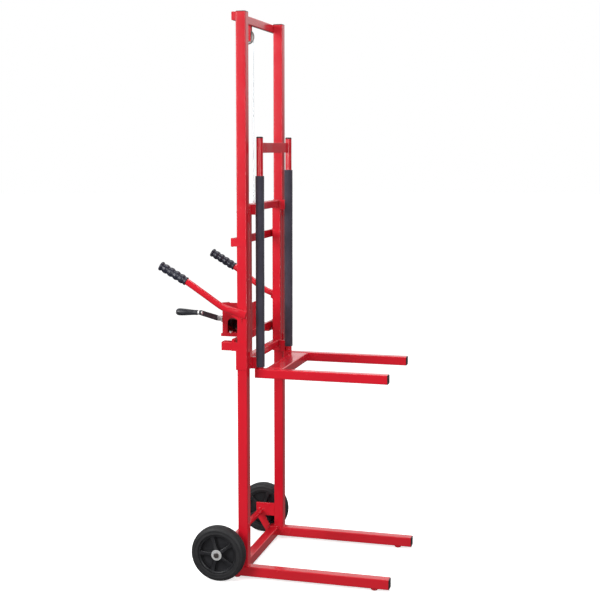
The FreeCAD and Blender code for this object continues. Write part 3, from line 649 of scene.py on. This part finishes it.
# ---------------------------------------------------------------- wheels
def build_wheels():
    for side, sign in SIDES:
        low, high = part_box(f"tyre_{side}")
        centre = (low + high) / 2
        r = (high.z - low.z) / 2
        half = (high.y - low.y) / 2
        rim = r - 32 * MM
        out = Vector((0, sign, 0))

        def tread(radius, along, angle):
            if radius < r - 1 * MM or abs(along) < 6 * MM:
                return radius
            sipe = math.cos(48 * (angle + 0.05 * abs(along) / half)) > 0.9
            return radius - (1.1 * MM if sipe else 0.0)

        profile = offsets(rim, half, (-0.3, -7), (0.6, -2.2), (2.5, -0.4), (6, 0), (8, -1), (14, -1.2),
                          (15, -0.1), (17, -0.1), (18, -1.6), (22, -2.6))
        profile += offsets(r, half, (-6, -5), (-3, -8), (-1.2, -12), (-0.9, -13), (-2.2, -13.6),
                           (-2.2, -15.4), (-0.5, -16))
        profile += offsets(r, 0, (-0.1, 5.5), (-1.8, 4.6), (-1.8, 2.6), (0, 1.8))
        mesh = bmesh.new()
        revolve(mesh, mirrored(profile), centre, out, 264, loop=True, ripple=tread)
        piece(f"tyre_{side}_tread", mesh, "tyre", f"wheel_{side}", [f"tyre_{side}"], 34)
        build_rim(side, sign, centre, rim, half)


def build_rim(side, sign, centre, rim, half):
    """A moulded centre: hub, five ribs with pockets between them, and the rim ring."""
    out = Vector((0, sign, 0))
    bore = 10.06 * MM
    hub = 20.5 * MM
    lip = half - 4.5 * MM
    web = 3.5 * MM
    mesh = bmesh.new()
    half_hub = [(bore, half + 2 * MM), (17.5 * MM, half + 2 * MM), (19 * MM, half), (hub, 9 * MM)]
    revolve(mesh, mirrored(half_hub), centre, out, 64, loop=True)
    half_ring = [(rim - 9 * MM, 9 * MM), (rim - 7 * MM, lip - 1.5 * MM), (rim - 5 * MM, lip),
                 (rim - 0.5 * MM, lip), (rim - 0.2 * MM, 0.2 * MM)]
    revolve(mesh, mirrored(half_ring), centre, out, 120, loop=True)
    revolve(mesh, mirrored([(hub - 0.5 * MM, web), (rim - 8.5 * MM, web)]), centre, out, 96, loop=True)
    turn = frame_along(out)
    ribs = 5
    for rib in range(ribs):
        angle = 2 * math.pi * (rib + 0.5) / ribs
        outward = turn @ Vector((math.cos(angle), math.sin(angle), 0))
        across = turn @ Vector((-math.sin(angle), math.cos(angle), 0))
        rings = []
        stations = ((18 * MM, 17 * MM, 1 * MM), (30 * MM, 13 * MM, 4 * MM),
                    (50 * MM, 13 * MM, 7 * MM), (rim - 7 * MM, 19 * MM, 6.5 * MM))
        for reach, width, drop in stations:
            cut = rounded_ring(width, 2 * (half - drop), 2.5 * MM, 3)
            rings.append([centre + outward * reach + across * p + out * q for p, q in cut])
        loft(mesh, rings)
    piece(f"wheel_rim_{side}_moulding", mesh, "rim_plastic", f"wheel_{side}", [f"wheel_rim_{side}"], 34)


def hexagon(mesh, base, direction, across, height, turn=0.0):
    """A chamfered bolt head or nut."""
    axes = frame_along(direction)
    rings = []
    corner = across / math.sqrt(3)
    for along, shrink in ((0, 0.0), (height * 0.8, 0.0), (height, 0.09)):
        ring = []
        for step in range(24):
            angle = 2 * math.pi * step / 24
            inside = (angle % (math.pi / 3)) - math.pi / 6
            flat = (across / 2) / math.cos(inside)
            r = min(flat, corner * (1 - shrink))
            spot = Vector((r * math.cos(angle + turn), r * math.sin(angle + turn), along))
            ring.append(base + axes @ spot)
        rings.append(ring)
    loft(mesh, rings)


def build_axle_hardware():
    mesh = bmesh.new()
    bolts = bmesh.new()
    for low, high in islands("axle_fasteners"):
        size = high - low
        sign = 1 if low.y > 0 else -1
        out = Vector((0, sign, 0))
        inner = low.y if sign > 0 else high.y
        base = Vector(((low.x + high.x) / 2, inner, (low.z + high.z) / 2))
        is_bolt_head = 5 * MM < size.y < 8 * MM
        is_washer = size.y < 5 * MM
        if is_bolt_head:
            hexagon(bolts, base, out, 19 * MM, size.y - 1 * MM, 0.4)
            shank_end = [(4.5 * MM, size.y - 1.2 * MM), (4.2 * MM, size.y - 0.2 * MM), (2 * MM, size.y)]
            revolve(bolts, shank_end, base, out, 24)
        else:
            r = size.z / 2
            edge = 0.7 * MM
            bore = 10.05 * MM
            ring = [(bore, 0), (r - edge, 0), (r, edge), (r, size.y - edge), (r - edge, size.y),
                    (bore, size.y)]
            revolve(mesh, ring, base, out, 56, loop=True)
            if is_washer:
                crown = size.y + 0.1 * MM
                rub_mark = [(13 * MM, size.y), (14 * MM, crown), (15.5 * MM, crown), (16.5 * MM, size.y)]
                revolve(mesh, rub_mark, base, out, 56, loop=True)
    piece("axle_washers_and_spacers", mesh, "zinc_steel", "frame", ["axle_fasteners"], 30)
    piece("axle_bolt_heads", bolts, "cast_steel", "frame", [], 25)


# ---------------------------------------------------------------- push handles
def build_handles():
    """Tubes flattened where they meet the posts, with ribbed rubber grips."""
    # Millimetres: forward of the post, out, up, then half the width and half the height of the tube.
    stations = ((18, 279.3, 1053, 6.2, 16), (-6, 280.2, 1060.5, 7, 15.6), (-30, 284, 1068, 10.2, 14.2),
                (-54, 287.6, 1075.5, 12.8, 13.1), (-80, 289.3, 1087.5, 13, 13),
                (-130, 292.5, 1121.5, 13, 13), (-170, 295.3, 1149, 13, 13), (-210, 298, 1176, 13, 13),
                (-262, 300.4, 1205.8, 13, 13), (-318, 302.8, 1237.6, 12.6, 12.6))
    grips = bmesh.new()
    for side, sign in SIDES:
        middles = [Vector((POST_X + x * MM, sign * y * MM, z * MM)) for x, y, z, _, _ in stations]
        path = smooth_path(middles, 5)
        sizes = smooth_path([Vector((half_y, half_z, 0)) * MM for _, _, _, half_y, half_z in stations], 5)
        rings = []
        for i, spot in enumerate(path):
            ahead = (path[min(i + 1, len(path) - 1)] - path[max(i - 1, 0)]).normalized()
            out = (Vector((0, 1, 0)) - ahead * ahead.y).normalized()
            up = ahead.cross(out)
            ring = []
            for step in range(36):
                angle = 2 * math.pi * step / 36
                ring.append(spot + out * sizes[i].x * math.cos(angle) + up * sizes[i].y * math.sin(angle))
            rings.append(ring)
        mesh = bmesh.new()
        loft(mesh, rings)
        piece(f"handle_tube_{side}_bent", mesh, "red_paint", "frame", [f"handle_tube_{side}"])

        end = Vector((POST_X - 322 * MM, sign * 303 * MM, 1240 * MM))
        last_straight = middles[7]
        along = (end - last_straight).normalized()
        length = 122 * MM
        r = 15 * MM
        profile = [(13.2 * MM, 0)] + offsets(r, 0, (1.2, 0.2), (2, 1.6), (2, 5), (1, 6.5), (0, 8))
        ridges = 4
        pitch = (length - 24 * MM) / ridges
        swelling = ((0.04, 0), (0.14, 1.5), (0.28, 2.9), (0.46, 3.5), (0.66, 3), (0.82, 1.5), (0.93, 0))
        for ridge in range(ridges):
            start = 10 * MM + ridge * pitch
            profile += [(r + lift * MM, start + share * pitch) for share, lift in swelling]
        profile += offsets(r, length, (0, -13), (2, -10.5), (3.8, -8), (4, -4), (2.6, -1.2), (-1, 0))
        profile += offsets(0, length, (5, 0), (4, -1.2), (1, -1.4))
        revolve(grips, profile, end - along * length, along, 56)
    piece("handle_grips_ribbed", grips, "black_rubber", "frame", ["handle_grips"], 50)


# ---------------------------------------------------------------- winch, crank and rope
def build_crank():
    low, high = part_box("crank_arm")
    grip_low, grip_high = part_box("crank_grip")
    grip_axis = (grip_low + grip_high) / 2
    hub = Vector((low.x, SHAFT.y, SHAFT.z))
    end = Vector((low.x, grip_axis.y, grip_axis.z))
    along = (end - hub).normalized()
    across = Vector((1, 0, 0)).cross(along)
    length = (end - hub).length
    outline = []
    for spot, radius, first in ((length, 10 * MM, -90), (0, 11 * MM, 90)):
        for step in range(17):
            angle = math.radians(first + 180 * step / 16)
            outline.append((spot + radius * math.cos(angle), radius * math.sin(angle)))
    thick = high.x - low.x
    edge = 1.6 * MM
    middle = length / 2
    rings = []
    for lift, inset in ((0, edge), (0.25 * edge, 0.35 * edge), (edge, 0), (thick - edge, 0),
                        (thick - 0.25 * edge, 0.35 * edge), (thick, edge)):
        ring = []
        for p, q in outline:
            shrink_p = (p - middle) * (1 - inset / (middle + 10 * MM)) + middle
            shrink_q = q * (1 - inset / (10.5 * MM))
            ring.append(hub + along * shrink_p + across * shrink_q + Vector((lift, 0, 0)))
        rings.append(ring)
    mesh = bmesh.new()
    loft(mesh, rings)
    piece("crank_arm_flat", mesh, "black_steel", "crank", ["crank_arm"], 50)

    mesh = bmesh.new()
    length = grip_high.x - grip_low.x
    start = Vector((grip_high.x, grip_axis.y, grip_axis.z))
    profile = offsets(0, 0, (4.2, 0), (8.6, 0), (9.6, 0.8), (10.4, 3), (10.2, 9), (10.6, 20), (12.2, 40),
                      (13.6, 56))
    profile += offsets(0, length, (14.3, -20), (14.2, -11), (13.2, -5), (11, -1.6), (8.8, -0.3), (8, 0),
                       (4.2, 0))
    revolve(mesh, profile, start, Vector((-1, 0, 0)), 56, loop=True)
    piece("crank_grip_turned", mesh, "grip_plastic", "crank_grip", ["crank_grip"], 50)


def strands(mesh, path, radius, lay=26 * MM, count=6):
    """Strands laid round a path, which gives wire rope its twist."""
    wire = radius * 0.36
    offset = radius - wire
    travelled = 0.0
    frames = path_frames(path)
    marks = []
    for before, (spot, _, _) in zip(frames[:1] + frames, frames):
        travelled += (spot - before[0]).length
        marks.append(travelled)
    for strand in range(count):
        start = 2 * math.pi * strand / count
        rings = []
        for (spot, side, up), mark in zip(frames, marks):
            turn = start + 2 * math.pi * mark / lay
            centre = spot + offset * (math.cos(turn) * side + math.sin(turn) * up)
            rings.append(round_ring(centre, wire, side, up, 5))
        loft(mesh, rings)
    sweep(mesh, path, radius * 0.42, 6)


def straight(start, end, step=3.2 * MM):
    count = max(2, int((end - start).length / step))
    return [start.lerp(end, i / count) for i in range(count + 1)]


def build_rope():
    """The rope: up from the drum, over the sheave, down to the carriage, and the turns on the drum."""
    rope_r = 2 * MM
    bend = 26 * MM
    rear_x = PULLEY.x - bend
    front_x = PULLEY.x + bend
    drum_end = Vector((rear_x, PULLEY.y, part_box("wire_rope_rear")[0].z))
    rise = straight(drum_end, Vector((rear_x, PULLEY.y, PULLEY.z)))
    over = []
    for step in range(1, 31):
        angle = math.pi * step / 30
        over.append(PULLEY + Vector((-bend * math.cos(angle), 0, bend * math.sin(angle))))
    wrap_r = DRUM.y - PULLEY.y
    around = []
    for step in range(34, 0, -1):
        angle = math.pi + math.radians(5.5 * step)
        r = wrap_r - 0.3 * MM * min(1, step / 10)
        drift = 0.11 * MM * step
        across = Vector((0, math.cos(angle), math.sin(angle))) * r
        around.append(Vector((rear_x - drift, DRUM.y, DRUM.z)) + across)
    mesh = bmesh.new()
    strands(mesh, around + rise + over, rope_r)
    piece("wire_rope_rear_laid", mesh, "wire_rope", "frame", ["wire_rope_rear"], 60)

    front_low, front_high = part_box("wire_rope_front")
    top = Vector((front_x, PULLEY.y, front_high.z))
    bottom = Vector((front_x, PULLEY.y, front_low.z))
    mesh = bmesh.new()
    strands(mesh, straight(top, bottom), rope_r)
    fall = piece("wire_rope_front_laid", mesh, "wire_rope", None, ["wire_rope_front"], 60)
    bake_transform(fall)
    build_rope_turns(rope_r)
    build_rope_ferrule(front_x)


def build_rope_turns(rope_r):
    """Rope turns on the drum, with a packed layer under them."""
    low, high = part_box("rope_wound")
    long = high.x - low.x
    turns = 12
    coil_r = 25.5 * MM
    winding = []
    for step in range(turns * 40 + 1):
        angle = 2 * math.pi * step / 40
        along = low.x + rope_r + (long - 2 * rope_r) * step / (turns * 40)
        across = Vector((0, math.cos(angle), math.sin(angle))) * coil_r
        winding.append(Vector((along, DRUM.y, DRUM.z)) + across)
    mesh = bmesh.new()
    strands(mesh, winding, rope_r)
    outer, inner, gap = 23.9 * MM, 20.1 * MM, 0.5 * MM
    packed = [(outer, gap), (outer, long - gap), (inner, long - gap), (inner, gap)]
    revolve(mesh, packed, Vector((low.x, DRUM.y, DRUM.z)), Vector((1, 0, 0)), 60, loop=True)
    piece("rope_wound_turns", mesh, "greased_rope", "drum", ["rope_wound"], 60)


def build_rope_ferrule(front_x):
    """The crimped sleeve at the rope's carriage end."""
    base = Vector((front_x, PULLEY.y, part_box("rope_anchor")[1].z - 1 * MM))
    profile = offsets(0, 0, (3.4, 0), (3.7, 1), (3.7, 14), (3.1, 16), (2.2, 16.5))
    mesh = bmesh.new()
    revolve(mesh, profile, base, UP, 28)
    piece("rope_ferrule", mesh, "zinc_steel", "carriage", [], 40)


def build_pulley():
    low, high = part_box("pulley_sheave")
    mesh = bmesh.new()
    r = (high.z - low.z) / 2
    cheek = offsets(0, 0, (5.06, -7.7), (8.6, -7.7), (9, -7.2), (9, -3.6), (12, -3.2), (19, -3.2),
                    (21, -5.4), (22, -6))
    cheek += offsets(r, 0, (-0.8, -6), (0, -5.2), (0, -4.7))
    groove = []
    for step in range(-3, 4):
        turn = 0.4 * step
        groove += offsets(0, 0, (25.5 - 1.8 * math.cos(turn), 2.6 * math.sin(turn)))
    profile = cheek + groove + [(a, -b) for a, b in reversed(cheek)]
    revolve(mesh, profile, PULLEY, Vector((0, 1, 0)), 84, loop=True)
    piece("pulley_sheave_turned", mesh, "cast_steel", "pulley", ["pulley_sheave"], 34)


# ---------------------------------------------------------------- weld beads
def bead(mesh, start, end, radius=2.3 * MM):
    """One weld bead with its ripple, from start to end."""
    path = straight(start, end, 1.7 * MM)
    radii = []
    for i, spot in enumerate(path):
        ripple = 0.82 + 0.18 * math.cos(2 * math.pi * i / 2.6) + 0.16 * noise.noise(spot * 160)
        fade = min(1.0, 0.55 + 0.25 * min(i, len(path) - 1 - i))
        radii.append(radius * ripple * fade)
    sweep(mesh, path, radii, 8)


def seams_round_box(mesh, low, high, axis, at, all_round=False):
    """Beads where a tube's end meets another face, on two of its sides or on all four."""
    a, b, c = WAYS[axis]
    inset = 2.5 * MM
    for across, along in ((a, b), (b, a)) if all_round else ((a, b),):
        for edge in (low, high):
            start = Vector((0, 0, 0))
            start[across] = edge[across]
            start[c] = at
            end = Vector(start)
            start[along] = low[along] + inset
            end[along] = high[along] - inset
            bead(mesh, start, end)


def ring_bead(mesh, centre, direction, radius, bead_r=2.0 * MM):
    """A weld bead that runs round a tube."""
    axes = frame_along(direction)
    count = max(24, int(2 * math.pi * radius / (1.8 * MM)))
    rings = []
    for i in range(count):
        angle = 2 * math.pi * i / count
        out = axes @ Vector((math.cos(angle), math.sin(angle), 0))
        spot = centre + out * radius
        size = bead_r * (0.84 + 0.16 * math.cos(2 * math.pi * i / 2.6) + 0.15 * noise.noise(spot * 170))
        rings.append(round_ring(spot, size, out, direction.normalized(), 8))
    loft(mesh, rings, loop=True)


def bead_along(mesh, start, **end):
    """A bead from a point to another that differs from it in the named coordinates."""
    finish = Vector(start)
    for axis, value in end.items():
        setattr(finish, axis, value)
    bead(mesh, start, finish, 1.9 * MM)


def build_frame_welds():
    mesh = bmesh.new()
    gap = 2 * MM
    bracket_boxes = islands("axle_brackets")
    for side, sign in SIDES:
        low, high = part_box("base_cross_tube")
        seams_round_box(mesh, low, high, "Y", sign * INNER_FACE)
        low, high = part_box(f"post_lower_{side}")
        seams_round_box(mesh, low, high, "Z", low.z)
        low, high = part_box("mast_top_bar")
        for z in (low.z, high.z - 0.5 * MM):
            bead_along(mesh, Vector((high.x, sign * (INNER_FACE + gap), z)), y=sign * (OUTER_FACE - gap))
        for y in (INNER_FACE, OUTER_FACE - 1.6 * MM):
            bead_along(mesh, Vector((high.x, sign * y, low.z + gap)), z=high.z - gap)
        for low, high in islands("rear_bars"):
            edge_y = sign * (OUTER_FACE + 0.2 * MM)
            for z in (low.z, high.z):
                bead_along(mesh, Vector((low.x + 1 * MM, edge_y, z)), x=high.x)
        faces = [(low.y, high.y) for low, high in bracket_boxes if low.y * sign > 0]
        bracket = min(faces, key=lambda ends: abs(sum(ends)))
        for y in bracket:
            bead_along(mesh, Vector((POST_X - POST_HALF, y, 96 * MM)), z=146 * MM)
        ring_bead(mesh, Vector((AXLE.x, min(bracket, key=abs), AXLE.z)), Vector((0, sign, 0)), 13.4 * MM)
    low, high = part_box("winch_shelf")
    bead_along(mesh, Vector((high.x, low.y + 4 * MM, high.z)), y=high.y - 4 * MM)
    low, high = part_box("pulley_bracket")
    for y in (low.y, high.y):
        bead_along(mesh, Vector((high.x, y, high.z - 21 * MM)), z=high.z - 1 * MM)
    piece("frame_weld_beads", mesh, "red_paint", "frame", [], 70)


def build_carriage_welds():
    mesh = bmesh.new()
    side_boxes = islands("carriage_side_tubes")
    for (low, high), sign in zip(side_boxes, (-1, 1)):
        face = high.y if sign < 0 else low.y
        for node in ("carriage_top_bar", "carriage_lower_bar"):
            bar_low, bar_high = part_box(node)
            seams_round_box(mesh, bar_low, bar_high, "Y", face, True)
    for side, sign in SIDES:
        arm_low, arm_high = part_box(f"fork_arm_{side}")
        cross_low, cross_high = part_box("fork_cross_tube")
        inner = arm_high.y if sign < 0 else arm_low.y
        seams_round_box(mesh, cross_low, cross_high, "Y", inner, True)
        spot = centre_of(f"upright_{side}")
        ring_bead(mesh, Vector((spot.x, spot.y, arm_high.z)), UP, 13.6 * MM)
        head_low, head_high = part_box("carriage_head_bar")
        edge_y = sign * head_high.y
        bead_along(mesh, Vector((head_high.x, edge_y, head_low.z + 2 * MM)), z=head_high.z - 2 * MM)
    for low, high in islands("upright_spacers"):
        for y in (low.y, high.y):
            bead_along(mesh, Vector((low.x, y, low.z + 3 * MM)), z=high.z - 3 * MM)
    piece("carriage_weld_beads", mesh, "red_paint", "carriage", [], 70)


# ---------------------------------------------------------------- CAD nodes that stay
def finish_cad_nodes():
    for name, obj in frame["nodes"].items():
        obj.data.materials.clear()
        obj.data.materials.append(LOOKS[SLOT_OF[name]])
    for name, width in (("post_side_plates", 0.8), ("axle_brackets", 1.0),
                        ("upright_spacers", 1.0), ("guide_shoes", 0.8), ("winch_shelf", 0.9),
                        ("winch_frame", 0.6), ("pulley_bracket", 0.6), ("rope_anchor", 1.0),
                        ("frame_fasteners", 0.4), ("drum", 0.5), ("drum_gear", 0.15),
                        ("crank_hub", 0.6), ("grip_spindle", 0.5), ("pinion_shaft", 0.2),
                        ("ratchet_wheel", 0.2), ("pawl", 0.3), ("winch_bushes", 0.2),
                        ("winch_mount_plate", 0.8), ("drum_guard", 0.8),
                        ("axle", 0.6), ("axle_tube", 0.3)):
        soften(name, width * MM)


# ---------------------------------------------------------------- studio
def stage_object(name, rings, recipe, look_up):
    """A round stage surface from rings of (radius, height)."""
    mesh = bmesh.new()
    loft(mesh, [round_ring(UP * height, radius, Vector((1, 0, 0)), Vector((0, 1, 0)), 96)
                for radius, height in rings], caps=False)
    bmesh.ops.recalc_face_normals(mesh, faces=mesh.faces)
    if (mesh.faces[:][0].normal.z > 0) != look_up:
        bmesh.ops.reverse_faces(mesh, faces=mesh.faces)
    data = bpy.data.meshes.new(name)
    mesh.to_mesh(data)
    mesh.free()
    data.materials.append(recipe.material)
    obj = bpy.data.objects.new(name, data)
    bpy.context.scene.collection.objects.link(obj)
    return obj


def build_studio():
    """A pale paper floor, a white backdrop all round, and three soft lights."""
    paper = Recipe("studio_paper", Specular_IOR_Level=0.05, Emission_Strength=0.62,
                   Emission_Color=(1.0, 1.0, 1.0, 1.0))
    grain = paper.noise(40, 4.0)
    paper.feed("Base Color", paper.tint(grain, (0.93, 0.93, 0.93), (0.90, 0.90, 0.90)))
    paper.roughen(grain, 0.85, 0.95)
    floor = stage_object("studio_floor", ((0.0005, 0.0), (3.0, 0.0), (8.0, 0.0), (40.0, 0.0)), paper, True)
    floor.visible_glossy = False
    floor.visible_diffuse = False

    white = Recipe("studio_backdrop_white", Specular_IOR_Level=0.0, Emission_Strength=1.0,
                   Emission_Color=(1.0, 1.0, 1.0, 1.0), Base_Color=(0.0, 0.0, 0.0, 1.0))
    dome = ((39.9, -0.5), (40.0, 0.0), (40.0, 12.0), (30.0, 24.0), (0.01, 30.0))
    backdrop = stage_object("studio_backdrop", dome, white, False)
    for kind in ("diffuse", "glossy", "transmission", "volume_scatter", "shadow"):
        setattr(backdrop, f"visible_{kind}", False)

    world = bpy.data.worlds.new("studio_world")
    bpy.context.scene.world = world
    world.use_nodes = True
    nodes, links = world.node_tree.nodes, world.node_tree.links
    direction = nodes.new("ShaderNodeTexCoord").outputs["Generated"]
    split = nodes.new("ShaderNodeSeparateXYZ")
    links.new(direction, split.inputs["Vector"])
    fades = []
    for axis, dark, light in (("Y", -0.3, 0.6), ("Z", -0.03, 0.12)):
        fade = nodes.new("ShaderNodeMapRange")
        fade.interpolation_type = "SMOOTHSTEP"
        fade.inputs["From Min"].default_value = dark
        fade.inputs["From Max"].default_value = light
        links.new(split.outputs[axis], fade.inputs["Value"])
        fades.append(fade.outputs["Result"])
    both = nodes.new("ShaderNodeMath")
    both.operation = "MULTIPLY"
    level = nodes.new("ShaderNodeMapRange")
    level.inputs["To Min"].default_value = 0.15
    level.inputs["To Max"].default_value = 0.9
    links.new(fades[0], both.inputs[0])
    links.new(fades[1], both.inputs[1])
    links.new(both.outputs["Value"], level.inputs["Value"])
    links.new(level.outputs["Result"], nodes["Background"].inputs["Strength"])
    nodes["Background"].inputs["Color"].default_value = (1.0, 1.0, 1.0, 1.0)

    aim = Vector((0, 0, 1.1))
    for name, spot, width, tall, power in (
            ("key_light", Vector((-2.5, -3.3, 2.5)), 1.8, 2.6, 138),
            ("strip_light", Vector((2.0, -4.0, 1.7)), 0.7, 3.0, 80),
            ("top_light", Vector((0.4, 0.2, 4.6)), 2.2, 2.2, 66)):
        lamp = bpy.data.lights.new(name, "AREA")
        lamp.shape = "RECTANGLE"
        lamp.size = width
        lamp.size_y = tall
        lamp.energy = power
        light = bpy.data.objects.new(name, lamp)
        light.location = spot
        light.rotation_euler = (aim - spot).to_track_quat("-Z", "Y").to_euler()
        bpy.context.scene.collection.objects.link(light)


def place_camera():
    """The photograph's camera; lengths are in metres."""
    azimuth, elevation = math.radians(15.04), math.radians(5.82)
    distance = 4.7378
    back = Vector((math.sin(azimuth) * math.cos(elevation), -math.cos(azimuth) * math.cos(elevation),
                   math.sin(elevation)))
    right = Vector((math.cos(azimuth), math.sin(azimuth), 0))
    up = back.cross(right)
    camera = bpy.data.objects.new("camera", bpy.data.cameras.new("camera"))
    camera.data.sensor_width = 36
    camera.data.lens = 70.36
    camera.data.shift_y = -0.055
    target = Vector((POST_X + 0.1596, 0, 1.2169))
    turn = Matrix((right, up, back)).transposed().to_4x4()
    camera.matrix_world = Matrix.Translation(target + back * distance) @ turn
    camera.data.clip_start = 0.1
    camera.data.clip_end = 100
    bpy.context.scene.collection.objects.link(camera)
    bpy.context.scene.camera = camera


bpy.context.scene.view_settings.view_transform = "Standard"
finish_cad_nodes()
build_tubes()
build_caps()
build_uprights()
build_head_bar()
build_wheels()
build_axle_hardware()
build_handles()
build_crank()
build_rope()
build_pulley()
build_frame_welds()
build_carriage_welds()
build_studio()
place_camera()
